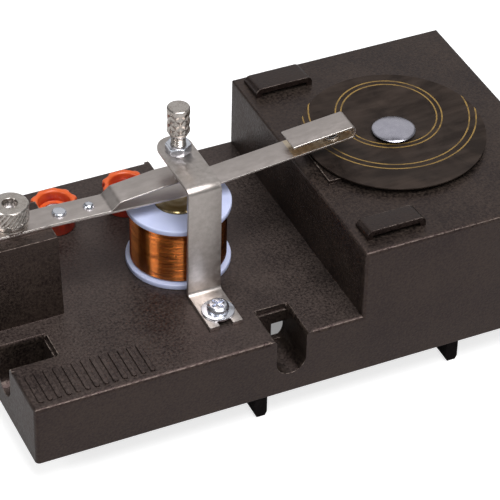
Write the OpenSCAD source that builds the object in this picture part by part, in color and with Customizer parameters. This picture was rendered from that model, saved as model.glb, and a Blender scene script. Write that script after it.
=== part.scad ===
// Ticker timer for motion experiments. An electromagnet shakes a steel strip that is clamped on a
// tower, and the strip's striker prints dots through a carbon disc on a paper tape.
// Millimetres. +X runs from the strip's clamp to the carbon disc, +Z is up, and the origin is on the
// table under the middle of the base.

/* [Base moulding] */
// Length of the base
base_l = 160; // [150:1:175]
// Width of the base
base_w = 86.5; // [82:0.5:96]
// Height of the deck above the rim
deck_h = 18.6; // [17:0.2:24]
// Height of the disc block above the rim
block_h = 40.2; // [37:0.2:44]
// Length of the disc block
block_l = 66.3; // [64:0.1:70]
// Thickness of the outer walls
wall = 2.8; // [2.2:0.1:3.4]
// Thickness of the deck and of the block's top
deck_t = 3.6; // [3:0.1:4.4]
// Radius of the outer edges
edge_r = 1.2; // [0.6:0.1:2]

/* [Feet] */
// Height of the feet below the rim
foot_h = 9.3; // [6:0.1:14]
// Thickness of a foot
foot_t = 3.6; // [3:0.1:4]
// Depth of a foot from front to back
foot_d = 12; // [9:0.5:15]
// Length of a foot inside its socket
foot_grip = 3.6; // [2.6:0.1:3.8]
// Distance of the first pair of feet from the clamp end
foot_x_a = 65.7; // [64:0.1:66]
// Distance of the second pair of feet from the clamp end
foot_x_b = 124; // [116:0.1:136]

/* [Finger ribs] */
// Number of finger ribs on the deck's corner
rib_n = 13; // [8:1:14]
// Spacing of the ribs
rib_pitch = 2.6; // [2.4:0.1:2.8]
// Width of a rib
rib_w = 1.3; // [0.9:0.1:1.6]
// Length of a rib
rib_l = 11.5; // [8:0.5:13]
// Height of a rib
rib_h = 0.5; // [0.3:0.1:0.8]
// Distance of the ribs from the base's edges
rib_inset = 2.2; // [1.8:0.1:3]

/* [Clamp notches] */
// Width of a notch
notch_w = 8.7; // [8.2:0.1:9.2]
// Depth of a notch into the deck
notch_d = 13.1; // [11:0.1:14]
// Height of the deck that is left under a notch
notch_floor = 6.2; // [5.8:0.1:8]
// Wall of the pocket behind a notch
notch_wall = 1.8; // [1.4:0.1:2]
// Width of the bevel around a notch
notch_rim = 0.6; // [0.4:0.1:0.9]
// Depth of that bevel
notch_rim_h = 0.8; // [0.5:0.1:1.2]
// Depth of the ledge at the back of a notch
ledge_d = 0.6; // [0.4:0.1:0.9]
// Height of that ledge below the deck
ledge_h = 1.8; // [1.4:0.1:2.2]
// Width of the window in a notch's back wall
window_w = 4.3; // [3:0.1:5]
// Height of the window
window_h = 5.7; // [4:0.1:6]
// Height of the window above the notch's floor
window_z = 1.2; // [1:0.1:2]
// Distance of the side notches from the clamp end
notch_x = 72.9; // [72.4:0.1:74]
// Distance of the end notch from the middle of the base
notch_y = 20.6; // [20:0.1:23]

/* [Strip tower] */
// Length of the tower at the deck
tower_l = 19.7; // [18.5:0.1:21]
// Width of the tower at the deck
tower_w = 20.6; // [19:0.2:22]
// Height of the tower above the deck
tower_h = 24.8; // [23:0.1:28]
// Slope of the tower's sides, as the inset at its top
tower_draft = 2; // [1:0.1:2.6]
// Slope of the tower's ends, as the inset at its top
tower_end_draft = 0.4; // [0.2:0.1:0.8]
// Distance of the tower from the clamp end
tower_inset = 1.5; // [1.2:0.1:2.2]
// Wall around the tower's hollow
tower_wall = 3.6; // [2.8:0.1:4]
// Thickness of the tower's top
tower_top_t = 8; // [6:0.5:10]

/* [Coil] */
// Distance of the coil's axis from the clamp end
coil_x = 58.7; // [57:0.1:60]
// Height of the bobbin
coil_h = 20; // [18.5:0.1:21]
// Diameter of the bobbin's flanges
flange_d = 29; // [28:0.1:31]
// Thickness of a flange
flange_t = 1.6; // [1.4:0.1:2]
// Outer diameter of the bobbin's hub
hub_d = 16; // [15:0.1:17]
// Diameter of the iron core
core_d = 13.2; // [12:0.1:13.6]
// Height of the pole face above the top flange
pole_rise = 0.4; // [0.3:0.1:0.8]
// Diameter of the winding over its outer layer
winding_d = 26.6; // [25:0.1:27.4]
// Diameter of the outer layer's wire
wire_d = 0.5; // [0.45:0.01:0.52]
// Turns in the outer layer
wire_turns = 14; // [10:1:14]
// Clearance between the layers of the winding
wire_gap = 0.1; // [0.05:0.01:0.2]

/* [Contact bracket] */
// Width of the strap
strap_w = 9.6; // [9:0.1:11]
// Thickness of the strap
strap_t = 1.1; // [0.9:0.1:1.3]
// Height of the strap's top above the deck
bracket_h = 36.2; // [35:0.1:39]
// Distance of the strap's upright from the coil's axis
upright_y = 17.8; // [17:0.1:18.6]
// Length of the forked foot
fork_l = 15.7; // [14.6:0.1:17]
// Width of the slot in the foot
fork_w = 3.8; // [3.6:0.1:4.6]
// Distance of the foot's screw from the upright
fork_screw = 8.9; // [7.8:0.1:9.4]
// Outer radius of the bends
bend_r = 2.2; // [1.8:0.1:2.6]
// Length of the strap past the contact screw
strap_over = 7; // [6:0.1:8]

/* [Contact screw] */
// Diameter of the screw thread
thread_d = 4; // [3.6:0.1:4.2]
// Diameter of the knurled grip
grip_d = 6.2; // [5.6:0.1:7]
// Height of the knurled grip
grip_h = 9.4; // [8:0.1:12]
// Bare thread between lock nut and grip
grip_gap = 2.6; // [1.6:0.1:3.6]
// Width of the lock nut across its flats
nut_af = 6.2; // [6:0.1:7]
// Turn of the lock nut's flats at rest, in degrees
nut_turn = 32; // [0:1:60]
// Thickness of the lock nut
nut_t = 2.5; // [2.2:0.1:3]
// Diameter of the contact tip
tip_d = 2; // [1.6:0.1:2.2]
// Length of the contact tip
tip_l = 3; // [2:0.1:4]
// Gap between the closed contacts
contact_gap = 0.1; // [0.08:0.01:0.2]

/* [Strip] */
// Width of the strip and its leaf
strip_w = 8; // [7:0.1:9]
// Thickness of the strip
strip_t = 0.6; // [0.5:0.05:0.8]
// Thickness of the contact leaf
leaf_t = 0.4; // [0.3:0.05:0.5]
// Gap between the strip and the pole face
magnet_gap = 2.9; // [2.6:0.1:3.6]
// Length of the strip past the striker
strike_over = 5.9; // [5:0.1:7]
// Outer height of the strip's folded end
fold_h = 3.9; // [3.2:0.1:4.6]
// Length of the fold's upper flap
fold_l = 18.4; // [16:0.1:22]
// Radius of the fold's corners
fold_r = 0.9; // [0.7:0.1:1.2]
// Distance of the leaf's jog from the tower
jog_x = 16.5; // [15.5:0.1:17.5]
// Length of the jog
jog_l = 2.3; // [2:0.1:3]
// Height of the jog
jog_h = 2.3; // [1.8:0.1:2.6]
// Height of the leaf's tip above the strip
leaf_lift = 5; // [4.8:0.1:5.4]
// Length of the leaf's flat tip before the contact
leaf_flat = 5.2; // [4:0.1:6]
// Length of the leaf past the contact
leaf_over = 2.6; // [2.2:0.1:3.4]
// Distance of the first rivet from the tower
rivet_x_a = 3; // [2.8:0.1:4]
// Distance of the second rivet from the tower
rivet_x_b = 11.4; // [10.2:0.1:12.4]
// Diameter of the rivets' shanks
rivet_d = 2; // [1.6:0.1:2.2]
// Diameter of the contact rivet
contact_d = 3; // [2.6:0.1:3.4]
// Gap that stands for the bend of the strip at the tower
flex_gap = 0.1; // [0.08:0.01:0.14]

/* [Striker] */
// Distance of the striker from the block's edge
strike_in = 10.3; // [9.5:0.1:11]
// Length of the striker below the strip
striker_l = 2.5; // [2:0.1:3]
// Diameter of the striker
striker_d = 4.4; // [3.8:0.1:4.8]
// Travel of the striker's tip down to the carbon disc
strike_gap = 1.5; // [1.4:0.1:2.4]

/* [Strip clamp] */
// Distance of the clamp stud from the clamp end
clamp_x = 10.9; // [10.5:0.1:11.4]
// Diameter of the thumb nut
thumb_d = 10; // [9:0.1:11]
// Height of the thumb nut's knurled part
thumb_h = 5; // [4:0.1:6]
// Height of the thumb nut's collar and groove
collar_h = 1.6; // [1.2:0.1:2]
// Diameter of the clamp washer
clamp_washer_d = 9; // [8.4:0.1:9.6]
// Thickness of the clamp washer
clamp_washer_t = 0.8; // [0.6:0.1:1]
// Depth of the stud's end below the thumb nut's top
stud_sunk = 3; // [2:0.1:3.6]

/* [Terminals] */
// Distance of the first terminal from the clamp end
terminal_x_a = 32.9; // [31:0.1:34]
// Distance of the second terminal from the clamp end
terminal_x_b = 54.2; // [53:0.1:56]
// Distance of the terminals from the middle of the base
terminal_y = 26.6; // [26:0.1:28]
// Height of a terminal cap
cap_h = 8; // [7:0.1:10]
// Diameter of a cap at its foot
cap_d = 11.4; // [11:0.1:12]
// Diameter of a cap over its lobes
cap_rim_d = 13.4; // [13:0.1:14.4]
// Height of the lobed rim
cap_rim_h = 3; // [2:0.1:4]
// Number of lobes on a rim
cap_lobes = 10; // [8:1:12]
// Diameter of the recess in a cap
recess_d = 9; // [8.4:0.1:9.4]
// Depth of the recess
recess_h = 3.4; // [2.6:0.1:3.6]
// Bore of the plug socket
socket_d = 4; // [3.9:0.05:4.2]
// Outer diameter of the socket
post_d = 6; // [5.8:0.1:6.4]
// Depth of the plug socket
socket_h = 14; // [12:0.5:18]

/* [Carbon disc] */
// Diameter of the carbon disc
disc_d = 51.4; // [48:0.2:54]
// Thickness of the disc
disc_t = 0.35; // [0.3:0.05:0.5]
// Rise of the disc's rim above its middle
disc_rise = 0.8; // [0.4:0.1:1.2]
// Distance of the disc's pin from the block's edge
disc_in = 29.9; // [29:0.1:31]
// Diameter of the pin's head
pin_head_d = 12.4; // [10:0.2:14]
// Height of the pin's head
pin_head_h = 2.2; // [1.8:0.1:2.8]
// Diameter of the pin
pin_d = 3.2; // [2.8:0.1:3.6]

/* [Tape path] */
// Length of the anvil pad along the tape
pad_l = 24; // [20:0.5:28]
// Width of the anvil pad across the tape
pad_w = 12; // [11:0.1:13]
// Height of the anvil pad
pad_h = 1; // [0.7:0.1:1.2]
// Gap for the tape between pad and disc
tape_gap = 0.4; // [0.3:0.05:0.6]
// Width of a tape guide
guide_w = 17.3; // [16:0.1:18]
// Height of a tape guide at its front
guide_h = 2.9; // [2.6:0.1:3.4]
// Height of a tape guide at its back
guide_back_h = 2; // [1.8:0.1:2.4]
// Radius of a tape guide's upper edges
guide_r = 1.7; // [1.2:0.1:1.8]
// Width of the tape slot
slot_w = 14; // [13:0.1:14.4]
// Height of the tape slot
slot_h = 1.3; // [1:0.1:1.5]
// Depth of the front guide
guide_front_d = 7.2; // [6:0.1:8]
// Depth of the rear guide
guide_rear_d = 8.6; // [7.6:0.1:9]
// Distance of the front guide from the front edge
guide_front_y = 5; // [4:0.1:6]
// Distance of the rear guide from the rear edge
guide_rear_y = 2.9; // [2.4:0.1:3.4]
// Distance of the guides past the striker, away from the clamp
guide_past = 1.2; // [0.6:0.1:1.6]

/* [Fits] */
// Radial clearance of running and threaded fits
fit_gap = 0.05; // [0.03:0.01:0.08]
// Clearance of screws in plain holes
hole_gap = 0.2; // [0.1:0.05:0.3]
// Play under a turning cap
turn_gap = 0.15; // [0.1:0.05:0.3]
// Diameter of the small fixing screw
small_d = 3; // [2.6:0.1:3.2]
// Diameter of the inner leads
lead_d = 1.6; // [1.2:0.1:2]

/* [Hidden] */
$fn = 64;

eps = 0.01;
over = 1;

// Levels
rim_z = foot_h;
deck_z = rim_z + deck_h;
deck_under_z = deck_z - deck_t;
block_z = rim_z + block_h;
block_under_z = block_z - deck_t;
tower_z = deck_z + tower_h;
tower_under_z = tower_z - tower_top_t;
pole_z = deck_z + coil_h + pole_rise;
arm_z = deck_z + bracket_h;

// Places along the base
left_x = -base_l / 2;
block_x = base_l / 2 - block_l;
coil_cx = left_x + coil_x;
clamp_cx = left_x + clamp_x;
strike_cx = block_x + strike_in;
disc_cx = block_x + disc_in;
notch_cx = left_x + notch_x;
terminal_xs = [left_x + terminal_x_a, left_x + terminal_x_b];
foot_xs = [left_x + foot_x_a, left_x + foot_x_b];
tower_x0 = left_x + tower_inset;
tower_x1 = tower_x0 + tower_l;
bracket_screw_y = -upright_y - fork_screw;

// Tape and disc
disc_z = block_z + pad_h + tape_gap;
flat_past_head = 4;
disc_flat_r = pin_head_d / 2 + flat_past_head;
disc_rim_r = disc_d / 2;
boss_wall = 2.6;
boss_r = pin_d / 2 + boss_wall;
strike_r = disc_cx - strike_cx;
disc_top_at_strike = disc_z + disc_t
  + disc_rise * max(0, strike_r - disc_flat_r) / (disc_rim_r - disc_flat_r);

// Strip: its middle line in the XZ plane, from the tower's edge over the pole face to the fold
flex_out = 0.6;
flex_x = tower_x1 - tower_end_draft + flex_out;
flex_pt = [flex_x, tower_z + strip_t / 2];
pole_pt = [coil_cx, pole_z + magnet_gap + strip_t / 2];
strike_pt = [strike_cx, disc_top_at_strike + strike_gap + striker_l + strip_t / 2];
near_dir = (pole_pt - flex_pt) / norm(pole_pt - flex_pt);
far_dir = (strike_pt - pole_pt) / norm(strike_pt - pole_pt);
near_angle = atan2(near_dir[1], near_dir[0]);
far_angle = atan2(far_dir[1], far_dir[0]);
fold_mid = fold_h - strip_t;
end_pt = strike_pt + far_dir * (strike_over - strip_t / 2);
far_up = turned(far_dir);
strip_path = concat([flex_pt + near_dir * flex_gap, pole_pt],
  corner(end_pt, far_dir, far_up, fold_r),
  corner(end_pt + far_up * fold_mid, far_up, -far_dir, fold_r),
  [end_pt + far_up * fold_mid - far_dir * fold_l]);

// Leaf: it lies on the strip, jogs up and ends in a flat tip under the contact screw
leaf_step = (strip_t + leaf_t) / 2;
near_up = turned(near_dir);
jog_pt = flex_pt + near_dir * jog_x + near_up * leaf_step;
tip_z = pole_pt[1] + leaf_lift;
leaf_path = [flex_pt + near_dir * flex_gap + near_up * leaf_step, jog_pt,
  jog_pt + near_dir * jog_l + near_up * jog_h, [coil_cx - leaf_flat, tip_z],
  [coil_cx + leaf_over, tip_z]];
contact_head_h = 0.5;
contact_z = tip_z + leaf_t / 2 + contact_head_h + contact_gap;

// Fasteners
washer_t = 0.7;
small_nut_af = 5.5;
small_nut_t = 2.4;
stud_nut_af = 7;
stud_nut_t = 3.2;
post_nut_af = 9;
post_nut_t = 2.2;
post_flange_d = recess_d;
post_flange_t = 0.8;
tag_t = 0.5;
grip_z = arm_z + nut_t + grip_gap;
strip_top_z = tower_z + strip_t + leaf_t;
thumb_z = strip_top_z + clamp_washer_t;
thumb_top_z = thumb_z + collar_h + thumb_h;
past_nut = 1.2;
stud_len_below = stud_nut_t + past_nut;

// Winding
wind_h = coil_h - 2 * flange_t;
wire_r = (winding_d - wire_d) / 2;
wire_bend = 0.6;
wire_lead = wire_d + wire_bend;
wire_pitch = (wind_h - 2 * wire_lead) / wire_turns;
rings_per_turn = 24;
bend_rings = 4;

// Routes of the inner leads, chosen by hand
lead_z = deck_under_z - 5;
tag_z = deck_under_z - tag_t;
tag_l = 8;
lead_hole_y = 9.5;
stud_end_z = tower_under_z - stud_len_below;
bracket_end_z = deck_under_z - small_nut_t - past_nut;
tag_a_x = terminal_xs[0] - tag_l;
tag_b_x = terminal_xs[1] + tag_l;
lead_strip_path = [[tag_a_x, terminal_y, tag_z], [tag_a_x, terminal_y, lead_z + 2],
  [tag_a_x - 1, terminal_y - 1, lead_z], [clamp_cx + 7, 18, lead_z], [clamp_cx + 3, 8, lead_z],
  [clamp_cx, 2, lead_z + 2], [clamp_cx, 0, lead_z + 6], [clamp_cx, 0, stud_end_z]];
lead_coil_path = [[tag_b_x, terminal_y, tag_z], [tag_b_x, terminal_y, lead_z + 2],
  [tag_b_x + 1, terminal_y - 1, lead_z], [tag_b_x + 3.8, 20, lead_z], [coil_cx + 4.4, 12, lead_z],
  [coil_cx, lead_hole_y + 1, lead_z], [coil_cx, lead_hole_y, lead_z + 1.5],
  [coil_cx, lead_hole_y, deck_z]];
lead_bracket_path = [[coil_cx, -lead_hole_y, deck_z], [coil_cx, -lead_hole_y, lead_z],
  [coil_cx, -lead_hole_y - 1, lead_z - 2], [coil_cx, -lead_hole_y - 5.5, lead_z - 4],
  [coil_cx, bracket_screw_y + 4.2, lead_z - 4], [coil_cx, bracket_screw_y + 1, lead_z - 3.5],
  [coil_cx, bracket_screw_y, lead_z - 2], [coil_cx, bracket_screw_y, bracket_end_z]];
lead_side = [1, 0, 0];

// Colours
brown = [0.25, 0.22, 0.21];
black = [0.07, 0.07, 0.08];
nylon = [0.9, 0.92, 0.96];
copper = [0.72, 0.38, 0.14];
nickel = [0.74, 0.72, 0.69];
zinc = [0.8, 0.82, 0.86];
brass = [0.8, 0.66, 0.34];
silver = [0.9, 0.9, 0.91];
red = [0.88, 0.3, 0.17];
carbon = [0.16, 0.15, 0.15];

function turned(d) = [-d[1], d[0]];
function unit(v) = v / norm(v);

// Points of a round corner at p between directions a and b
function corner(p, a, b, r, steps = 5) = let (c = p - a * r + b * r)
  [for (i = [0:steps]) let (t = 90 * i / steps) c + a * r * sin(t) - b * r * cos(t)];

// Normal of a bent line at its point i, lengthened to keep an even thickness at the bend
function line_normal(path, i) = let (last = len(path) - 1,
  a = turned(unit(path[max(i, 1)] - path[max(i, 1) - 1])),
  b = turned(unit(path[min(i + 1, last)] - path[min(i + 1, last) - 1]))) (a + b) / (1 + a * b);

// Outline of a sheet of thickness t along a bent line
function sheet_outline(path, t) = concat(
  [for (i = [0:len(path) - 1]) path[i] + line_normal(path, i) * t / 2],
  [for (i = [len(path) - 1:-1:0]) path[i] - line_normal(path, i) * t / 2]);

// Direction of a path in space at its point i
function tangent(path, i) =
  unit(unit(path[min(i + 1, len(path) - 1)] - path[min(i + 1, len(path) - 1) - 1])
     + unit(path[max(i, 1)] - path[max(i, 1) - 1]));

// A tube of even radius along a path, with one side direction for each point
module tube(path, sides_at, r, sides) {
  rings = len(path);
  last = (rings - 1) * sides;
  points = [for (i = [0:rings - 1])
    let (t = tangent(path, i), v = unit(cross(t, sides_at[i])), u = cross(v, t))
    for (k = [0:sides - 1]) path[i] + r * (u * cos(360 * k / sides) + v * sin(360 * k / sides))];
  walls = [for (i = [0:rings - 2], k = [0:sides - 1])
    let (a = i * sides + k, b = i * sides + (k + 1) % sides)
    each [[a, a + sides, b], [b, a + sides, b + sides]]];
  caps = [for (k = [1:sides - 2]) each [[0, k, k + 1], [last, last + k + 1, last + k]]];
  polyhedron(points = points, faces = concat(walls, caps));
}

module round_top(w, h, r) {
  square([w, h - r]);
  translate([r, 0]) square([w - 2 * r, h]);
  translate([r, h - r]) circle(r);
  translate([w - r, h - r]) circle(r);
}

module round_rect(w, d, r) {
  translate([r, 0]) square([w - 2 * r, d]);
  translate([0, r]) square([w, d - 2 * r]);
  for (x = [r, w - r], y = [r, d - r]) translate([x, y]) circle(r);
}

// A block with its upright and top edges rounded
module soft_block(size, r) {
  intersection() {
    linear_extrude(size[2]) round_rect(size[0], size[1], r);
    translate([0, size[1], 0]) rotate([90, 0, 0]) linear_extrude(size[1])
      round_top(size[0], size[2], r);
    rotate([90, 0, 90]) linear_extrude(size[0]) round_top(size[1], size[2], r);
  }
}

// A shape in the XZ plane made w wide across the base
module across(w) {
  rotate([90, 0, 0]) linear_extrude(w, center = true) children();
}

// A rod, or what a drill takes out
module rod(d, z0, z1) {
  translate([0, 0, z0]) cylinder(d = d, h = z1 - z0);
}

module ring(d, bore, h) {
  difference() {
    cylinder(d = d, h = h);
    translate([0, 0, -over]) cylinder(d = bore, h = h + 2 * over);
  }
}

// A round-topped cap of base radius r and height h
module dome(r, h) {
  round_r = (r * r + h * h) / (2 * h);
  rotate_extrude() intersection() {
    translate([0, h - round_r]) circle(round_r);
    square([r, h]);
  }
}

// A hexagon nut with chamfered corners
module hex_nut(af, bore, h) {
  corner_r = af / 2 / cos(30);
  bevel = (corner_r - af / 2) / 2;
  difference() {
    intersection() {
      cylinder(r = corner_r, h = h, $fn = 6);
      rotate_extrude() polygon([[0, 0], [af / 2, 0], [corner_r, bevel], [corner_r, h - bevel],
        [af / 2, h], [0, h]]);
    }
    translate([0, 0, -over]) cylinder(d = bore, h = h + 2 * over);
  }
}

module both_sides() {
  for (side = [0, 1]) mirror([0, side, 0]) children();
}

// The pocket of a notch, cut inwards from an edge along +Y, with room for its wall when grown
module notch_pocket(grow, z1) {
  half = notch_w / 2 + grow;
  floor_z = rim_z + notch_floor - grow;
  depth = notch_d + grow;
  translate([0, depth, 0]) rotate([90, 0, 0]) linear_extrude(depth + (grow > 0 ? -eps : over)) {
    translate([0, floor_z + half]) circle(half);
    translate([-half, floor_z + half]) square([2 * half, z1 - floor_z - half]);
  }
}

// The three notches: on the front edge, on the rear edge and at the clamp end
module at_notches() {
  both_sides() translate([notch_cx, -base_w / 2, 0]) children();
  translate([left_x, -notch_y, 0]) rotate([0, 0, -90]) children();
}

module notch_cuts() {
  notch_pocket(0, deck_z + over);
  rim_w = notch_w + 2 * notch_rim;
  hull() {
    translate([-notch_w / 2, -over, deck_z - notch_rim_h]) cube([notch_w, notch_d + over, eps]);
    translate([-rim_w / 2, -over, deck_z]) cube([rim_w, notch_d + notch_rim + over, over]);
  }
  translate([-notch_w / 2, 0, deck_z - ledge_h]) cube([notch_w, notch_d + ledge_d, ledge_h + over]);
  intersection() {
    translate([notch_w / 2 - window_w, notch_d - over, rim_z + notch_floor + window_z])
      cube([window_w, notch_wall + 2 * over, window_h]);
    translate([0, notch_wall + over, 0]) notch_pocket(0, deck_z);
  }
}

module tower_form(grow, z1) {
  inset = tower_draft * (z1 - deck_z) / tower_h;
  end_inset = tower_end_draft * (z1 - deck_z) / tower_h;
  low = deck_z - deck_t - (grow > 0 ? eps : 0);
  half = tower_w / 2 - grow;
  intersection() {
    across(base_w) polygon([[tower_x0 + grow, low], [tower_x1 - grow, low], [tower_x1 - grow, deck_z],
      [tower_x1 - grow - end_inset, z1], [tower_x0 + grow + end_inset, z1],
      [tower_x0 + grow, deck_z]]);
    translate([tower_x0 - over, 0, 0]) rotate([90, 0, 90]) linear_extrude(tower_l + 2 * over)
      polygon([[-half, low], [half, low], [half, deck_z], [half - inset, z1], [-half + inset, z1],
        [-half, deck_z]]);
  }
}

module finger_ribs() {
  rib_x0 = left_x + rib_inset + rib_w / 2;
  rib_y0 = -base_w / 2 + rib_inset + rib_w / 2;
  for (i = [0:rib_n - 1])
    translate([rib_x0 + i * rib_pitch, rib_y0, deck_z - eps]) {
      cylinder(d = rib_w, h = rib_h + eps);
      translate([0, rib_l - rib_w, 0]) cylinder(d = rib_w, h = rib_h + eps);
      translate([-rib_w / 2, 0, 0]) cube([rib_w, rib_l - rib_w, rib_h + eps]);
    }
}

module at_feet() {
  both_sides() for (x = foot_xs) translate([x, -base_w / 2 + wall, 0]) children();
}

module foot_socket() {
  side = 1.6;
  translate([-foot_t / 2 - side, -eps, rim_z])
    cube([foot_t + 2 * side, foot_d + 2 * side, foot_grip + side]);
}

module foot_slot() {
  translate([-foot_t / 2 - fit_gap, fit_gap, rim_z - over])
    cube([foot_t + 2 * fit_gap, foot_d + 2 * fit_gap, foot_grip + over]);
}

module base_moulding() {
  color(brown) difference() {
    union() {
      difference() {
        union() {
          translate([left_x, -base_w / 2, rim_z]) soft_block([base_l, base_w, deck_h], edge_r);
          translate([block_x, -base_w / 2, rim_z]) soft_block([block_l, base_w, block_h], edge_r);
          tower_form(0, tower_z);
        }
        translate([left_x + wall, -base_w / 2 + wall, rim_z - over])
          cube([base_l - 2 * wall, base_w - 2 * wall, deck_h - deck_t + over]);
        translate([block_x + wall, -base_w / 2 + wall, rim_z - over])
          cube([block_l - 2 * wall, base_w - 2 * wall, block_h - deck_t + over]);
        tower_form(tower_wall, tower_under_z);
      }
      intersection() {
        at_notches() notch_pocket(notch_wall, deck_z - eps);
        translate([left_x + eps, -base_w / 2 + eps, rim_z])
          cube([base_l - 2 * eps, base_w - 2 * eps, deck_h - eps]);
      }
      at_feet() foot_socket();
      finger_ribs();
      translate([strike_cx - pad_w / 2, -pad_l / 2, block_z - eps]) cube([pad_w, pad_l, pad_h + eps]);
      translate([disc_cx, 0, block_z - eps]) cylinder(r = boss_r, h = pad_h + tape_gap - fit_gap + eps);
    }
    at_notches() notch_cuts();
    at_feet() foot_slot();
    translate([coil_cx, 0, 0]) {
      rod(thread_d + 2 * hole_gap, deck_under_z - over, deck_z + over);
      for (y = [-lead_hole_y, lead_hole_y]) translate([0, y, 0])
        rod(lead_d + 2 * hole_gap, deck_under_z - over, deck_z + over);
      translate([0, bracket_screw_y, 0]) rod(small_d + 2 * hole_gap, deck_under_z - over, deck_z + over);
    }
    translate([clamp_cx, 0, 0]) rod(thread_d + 2 * fit_gap, tower_under_z - over, tower_z + over);
    for (x = terminal_xs) translate([x, terminal_y, 0])
      rod(post_d + 2 * hole_gap, deck_under_z - over, deck_z + over);
    translate([disc_cx, 0, 0]) rod(pin_d + 2 * fit_gap, block_under_z - over, disc_z + over);
  }
}

module feet() {
  bevel = foot_t / 6;
  half = foot_t / 2;
  top = rim_z + foot_grip;
  color(black) at_feet() translate([0, 2 * fit_gap, 0]) rotate([90, 0, 180]) linear_extrude(foot_d)
    polygon([[-half + bevel, 0], [half - bevel, 0], [half, 2 * bevel], [half, top], [-half, top],
      [-half, 2 * bevel]]);
}

// A low hood with a slot for the tape, standing on the block and sloping down to its back
module tape_guide(depth) {
  difference() {
    hull() {
      guide_slice(0, guide_h);
      guide_slice(depth - eps, guide_back_h);
    }
    translate([-slot_w / 2, -over, block_z - over]) cube([slot_w, depth + 2 * over, slot_h + over]);
  }
}

module guide_slice(y, h) {
  translate([-guide_w / 2, y + eps, block_z]) rotate([90, 0, 0]) linear_extrude(eps) intersection() {
    round_top(guide_w, h, guide_r);
    square([guide_w, h]);
  }
}

module tape_guides() {
  color(brown) translate([strike_cx + guide_past, 0, 0]) {
    translate([0, -base_w / 2 + guide_front_y, 0]) tape_guide(guide_front_d);
    translate([0, base_w / 2 - guide_rear_y - guide_rear_d, 0]) tape_guide(guide_rear_d);
  }
}

module coil_bobbin() {
  color(nylon) translate([coil_cx, 0, deck_z]) difference() {
    union() {
      cylinder(d = flange_d, h = flange_t);
      cylinder(d = hub_d, h = coil_h);
      translate([0, 0, coil_h - flange_t]) cylinder(d = flange_d, h = flange_t);
    }
    translate([0, 0, -over]) cylinder(d = core_d + 2 * fit_gap, h = coil_h + 2 * over);
  }
}

module winding_pack() {
  color(copper) translate([coil_cx, 0, deck_z + flange_t])
    ring(winding_d - 2 * wire_d - 2 * wire_gap, hub_d + 2 * fit_gap, wind_h);
}

// The outer layer as one wire: out of the lower flange, round the turns and into the upper flange.
// The route is laid out flat, as length along the winding and height, and then rolled up.
turn_l = 2 * PI * wire_r;
climb = wire_pitch / turn_l;
wire_steps = rings_per_turn * wire_turns;
wire_end_s = turn_l * wire_turns;
wire_flat = concat(
  [[0, 0]],
  [for (i = [0:bend_rings]) let (t = 90 * i / bend_rings)
    [wire_bend * (1 - cos(t)), wire_d + wire_bend * sin(t)]],
  [for (i = [1:wire_steps - 1]) let (s = wire_end_s * i / wire_steps)
    [s + wire_bend, wire_lead + climb * s]],
  [for (i = [bend_rings:-1:0]) let (t = 90 * i / bend_rings)
    [wire_end_s + 2 * wire_bend - wire_bend * (1 - cos(t)), wind_h - wire_d - wire_bend * sin(t)]],
  [[wire_end_s + 2 * wire_bend, wind_h]]);
wire_out = [for (p = wire_flat) let (t = 360 * p[0] / turn_l) [cos(t), sin(t), 0]];
wire_path = [for (i = [0:len(wire_flat) - 1]) wire_out[i] * wire_r + [0, 0, wire_flat[i][1]]];
wire_self_gap = min([for (i = [0:len(wire_path) - 1],
  j = [i + rings_per_turn / 2:min(i + 2 * rings_per_turn, len(wire_path) - 1)])
  norm(wire_path[i] - wire_path[j])]) - wire_d;
echo(least_gap_of_the_wire_to_itself = wire_self_gap);

module winding_wire() {
  color(copper) translate([coil_cx, 0, deck_z + flange_t]) tube(wire_path, wire_out, wire_d / 2, 6);
}

module iron_core() {
  bevel = pole_rise;
  color(zinc) translate([coil_cx, 0, deck_z]) difference() {
    union() {
      cylinder(d = core_d, h = coil_h + pole_rise - bevel);
      translate([0, 0, coil_h + pole_rise - bevel])
        cylinder(d1 = core_d, d2 = core_d - 2 * bevel, h = bevel);
    }
    translate([0, 0, -over]) cylinder(d = thread_d + 2 * fit_gap, h = coil_h / 2 + over);
  }
}

module core_screw() {
  head_h = 2.4;
  color(zinc) translate([coil_cx, 0, deck_under_z - washer_t]) {
    mirror([0, 0, 1]) dome(thread_d * 0.9, head_h);
    cylinder(d = thread_d, h = washer_t + deck_t + coil_h / 2 - over);
  }
}

module core_washer() {
  color(zinc) translate([coil_cx, 0, deck_under_z - washer_t])
    ring(thread_d + 5, thread_d + 2 * hole_gap, washer_t);
}

// The strap's side view in the YZ plane: fork on the deck, upright, bend and arm over the coil
module strap_outline() {
  inner = bend_r - strap_t;
  front = -upright_y;
  translate([front - fork_l + strap_t, deck_z]) square([fork_l - bend_r, strap_t]);
  translate([front + strap_t - bend_r, deck_z + bend_r]) bend(bend_r, inner, 1, -1);
  translate([front, deck_z + bend_r]) square([strap_t, bracket_h - 2 * bend_r]);
  translate([front + bend_r, arm_z - bend_r]) bend(bend_r, inner, -1, 1);
  translate([front + bend_r, arm_z - strap_t]) square([upright_y - bend_r + strap_over, strap_t]);
}

// A quarter of a bent sheet, in the corner that the signs point to
module bend(r, inner, sx, sy) {
  intersection() {
    difference() {
      circle(r);
      circle(inner);
    }
    translate([sx > 0 ? 0 : -r, sy > 0 ? 0 : -r]) square(r);
  }
}

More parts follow.
